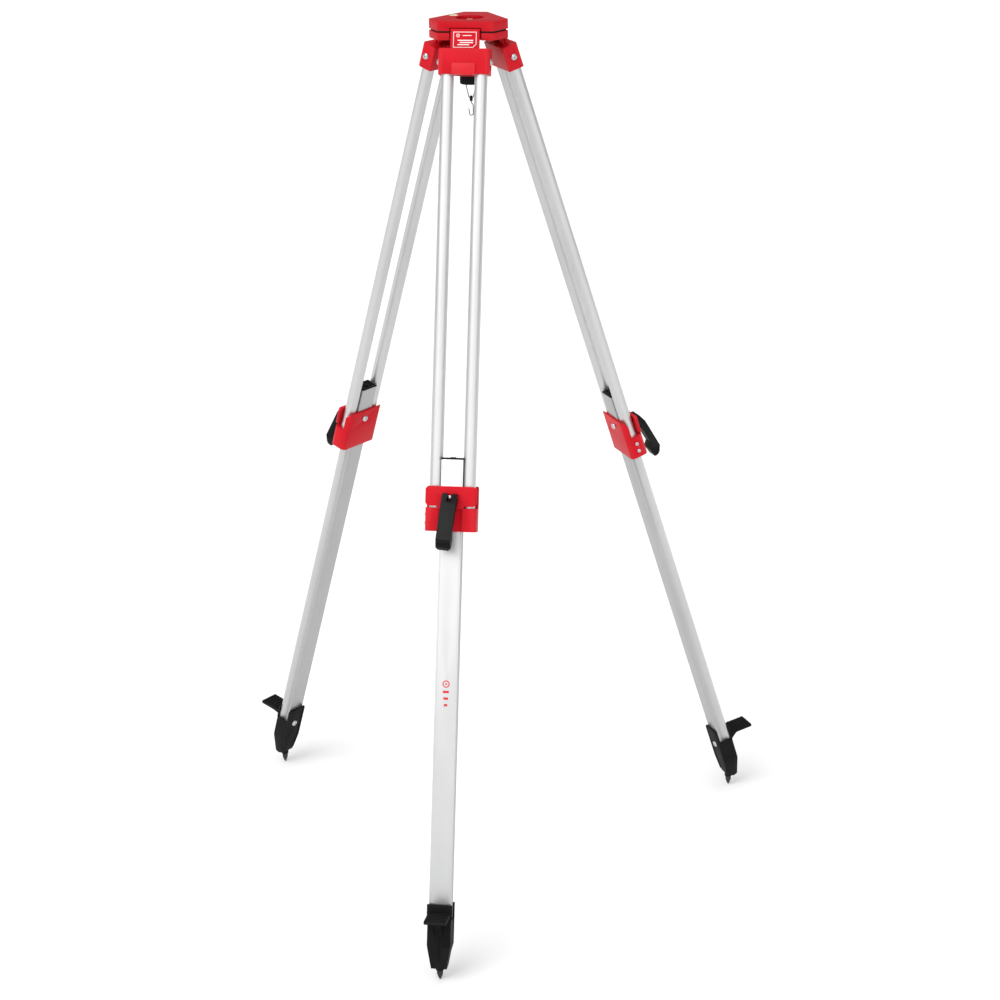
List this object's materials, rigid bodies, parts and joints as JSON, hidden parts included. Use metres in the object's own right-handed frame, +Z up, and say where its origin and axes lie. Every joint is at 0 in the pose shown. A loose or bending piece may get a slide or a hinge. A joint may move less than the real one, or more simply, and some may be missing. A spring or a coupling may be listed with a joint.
{
  "type": "surveyor tripod",
  "caption": "Surveyor tripod with a flat hexagonal head, centring screw, twin-tube upper legs, lever-clamped sliding lower legs and stepped spiked feet.",
  "frame": {"origin": "centre of the bounding box at ground level, the plane the spike tips stand on", "axes": "+Z up to the head, the front leg towards -Y, the other two legs towards +X+Y and -X+Y"},
  "size_m": [1.0574, 0.9158, 1.6505],
  "materials": {
    "red_casting": "satin",
    "red_moulding": "satin",
    "anodised_aluminium": "satin",
    "black_moulding": "matte",
    "gasket": "matte",
    "zinc": "satin",
    "dark_steel": "satin",
    "vial": "gloss"
  },
  "bodies": {
    "head": {"head_plate": "red_casting", "head_gasket": "gasket", "hinge_frame": "red_casting", "vial_housing": "black_moulding", "vial_lens": "vial", "arm_pivot_screw": "zinc"},
    "centring_arm": {"centring_arm": "red_casting"},
    "centring_screw": {"centring_screw": "zinc", "centring_knob": "black_moulding"},
    "plumb_bail": {"plumb_bail": "dark_steel", "bail_swivel": "black_moulding"},
    "plumb_hook": {"plumb_hook": "dark_steel"},
    "upper_leg_front": {"bracket_front": "red_moulding", "hinge_bolt_front": "zinc", "tube_a_front": "anodised_aluminium", "tube_b_front": "anodised_aluminium", "clamp_front": "red_moulding", "lever_stud_front": "zinc", "adjusting_screw_front": "zinc", "upper_side_screw_front": "zinc", "lower_side_screw_front": "zinc"},
    "lever_front": {"lever_front": "black_moulding"},
    "brake_shoe_front": {"brake_shoe_front": "black_moulding"},
    "lower_leg_front": {"lower_leg_front": "anodised_aluminium", "end_cap_front": "black_moulding", "foot_front": "black_moulding", "foot_bolt_front": "zinc", "spike_front": "dark_steel"},
    "upper_leg_right": {"bracket_right": "red_moulding", "hinge_bolt_right": "zinc", "tube_a_right": "anodised_aluminium", "tube_b_right": "anodised_aluminium", "clamp_right": "red_moulding", "lever_stud_right": "zinc", "adjusting_screw_right": "zinc", "upper_side_screw_right": "zinc", "lower_side_screw_right": "zinc"},
    "lever_right": {"lever_right": "black_moulding"},
    "brake_shoe_right": {"brake_shoe_right": "black_moulding"},
    "lower_leg_right": {"lower_leg_right": "anodised_aluminium", "end_cap_right": "black_moulding", "foot_right": "black_moulding", "foot_bolt_right": "zinc", "spike_right": "dark_steel"},
    "upper_leg_left": {"bracket_left": "red_moulding", "hinge_bolt_left": "zinc", "tube_a_left": "anodised_aluminium", "tube_b_left": "anodised_aluminium", "clamp_left": "red_moulding", "lever_stud_left": "zinc", "adjusting_screw_left": "zinc", "upper_side_screw_left": "zinc", "lower_side_screw_left": "zinc"},
    "lever_left": {"lever_left": "black_moulding"},
    "brake_shoe_left": {"brake_shoe_left": "black_moulding"},
    "lower_leg_left": {"lower_leg_left": "anodised_aluminium", "end_cap_left": "black_moulding", "foot_left": "black_moulding", "foot_bolt_left": "zinc", "spike_left": "dark_steel"}
  },
  "joints": [
    {"name": "arm_swing", "type": "hinge", "parent": "head", "child": "centring_arm", "pos_m": [0, 0.19107, 1.61307], "axis": [0, 0, 1], "range_deg": [-15, 15]},
    {"name": "screw_turn", "type": "hinge", "parent": "centring_arm", "child": "centring_screw", "pos_m": [0, 0.14107, 1.59], "axis": [0, 0, 1], "continuous": true},
    {"name": "bail_swing", "type": "hinge", "parent": "centring_screw", "child": "plumb_bail", "pos_m": [0, 0.14107, 1.53547], "axis": [1, 0, 0], "range_deg": [-50, 50]},
    {"name": "hook_turn", "type": "hinge", "parent": "plumb_bail", "child": "plumb_hook", "pos_m": [0, 0.14107, 1.5], "axis": [0, 0, 1], "continuous": true},
    {"name": "leg_hinge_front", "type": "hinge", "parent": "head", "child": "upper_leg_front", "pos_m": [0, 0.07497, 1.58117], "axis": [1, 0, 0], "range_deg": [0, 17.8]},
    {"name": "leg_slide_front", "type": "slide", "parent": "upper_leg_front", "child": "lower_leg_front", "axis": [0, -0.3057, -0.9521], "range_m": [-0.6, 0.04]},
    {"name": "lever_turn_front", "type": "hinge", "parent": "upper_leg_front", "child": "lever_front", "pos_m": [0, -0.18809, 0.85114], "axis": [-0.9969, 0.024, 0.0747], "range_deg": [0, 95]},
    {"name": "shoe_press_front", "type": "slide", "parent": "upper_leg_front", "child": "brake_shoe_front", "axis": [0, -0.9521, 0.3057], "range_m": [0, 0.0008]},
    {"name": "leg_hinge_right", "type": "hinge", "parent": "head", "child": "upper_leg_right", "pos_m": [0.05724, 0.17412, 1.58117], "axis": [-0.5, 0.866, 0], "range_deg": [0, 17.8]},
    {"name": "leg_slide_right", "type": "slide", "parent": "upper_leg_right", "child": "lower_leg_right", "axis": [0.2647, 0.1528, -0.9521], "range_m": [-0.6, 0.04]},
    {"name": "lever_turn_right", "type": "hinge", "parent": "upper_leg_right", "child": "lever_right", "pos_m": [0.28506, 0.30565, 0.85114], "axis": [0.5, -0.866, 0], "range_deg": [0, 95]},
    {"name": "shoe_press_right", "type": "slide", "parent": "upper_leg_right", "child": "brake_shoe_right", "axis": [0.8246, 0.4761, 0.3057], "range_m": [0, 0.0008]},
    {"name": "leg_hinge_left", "type": "hinge", "parent": "head", "child": "upper_leg_left", "pos_m": [-0.05724, 0.17412, 1.58117], "axis": [-0.5, -0.866, 0], "range_deg": [0, 17.8]},
    {"name": "leg_slide_left", "type": "slide", "parent": "upper_leg_left", "child": "lower_leg_left", "axis": [-0.2647, 0.1528, -0.9521], "range_m": [-0.6, 0.04]},
    {"name": "lever_turn_left", "type": "hinge", "parent": "upper_leg_left", "child": "lever_left", "pos_m": [-0.28506, 0.30565, 0.85114], "axis": [0.5, 0.866, 0], "range_deg": [0, 95]},
    {"name": "shoe_press_left", "type": "slide", "parent": "upper_leg_left", "child": "brake_shoe_left", "axis": [-0.8246, 0.4761, 0.3057], "range_m": [0, 0.0008]}
  ],
  "couplings": [
    {"joint": "shoe_press_front", "follows": "lever_turn_front", "m_per_rad": 0.00048},
    {"joint": "shoe_press_right", "follows": "lever_turn_right", "m_per_rad": 0.00048},
    {"joint": "shoe_press_left", "follows": "lever_turn_left", "m_per_rad": 0.00048}
  ]
}
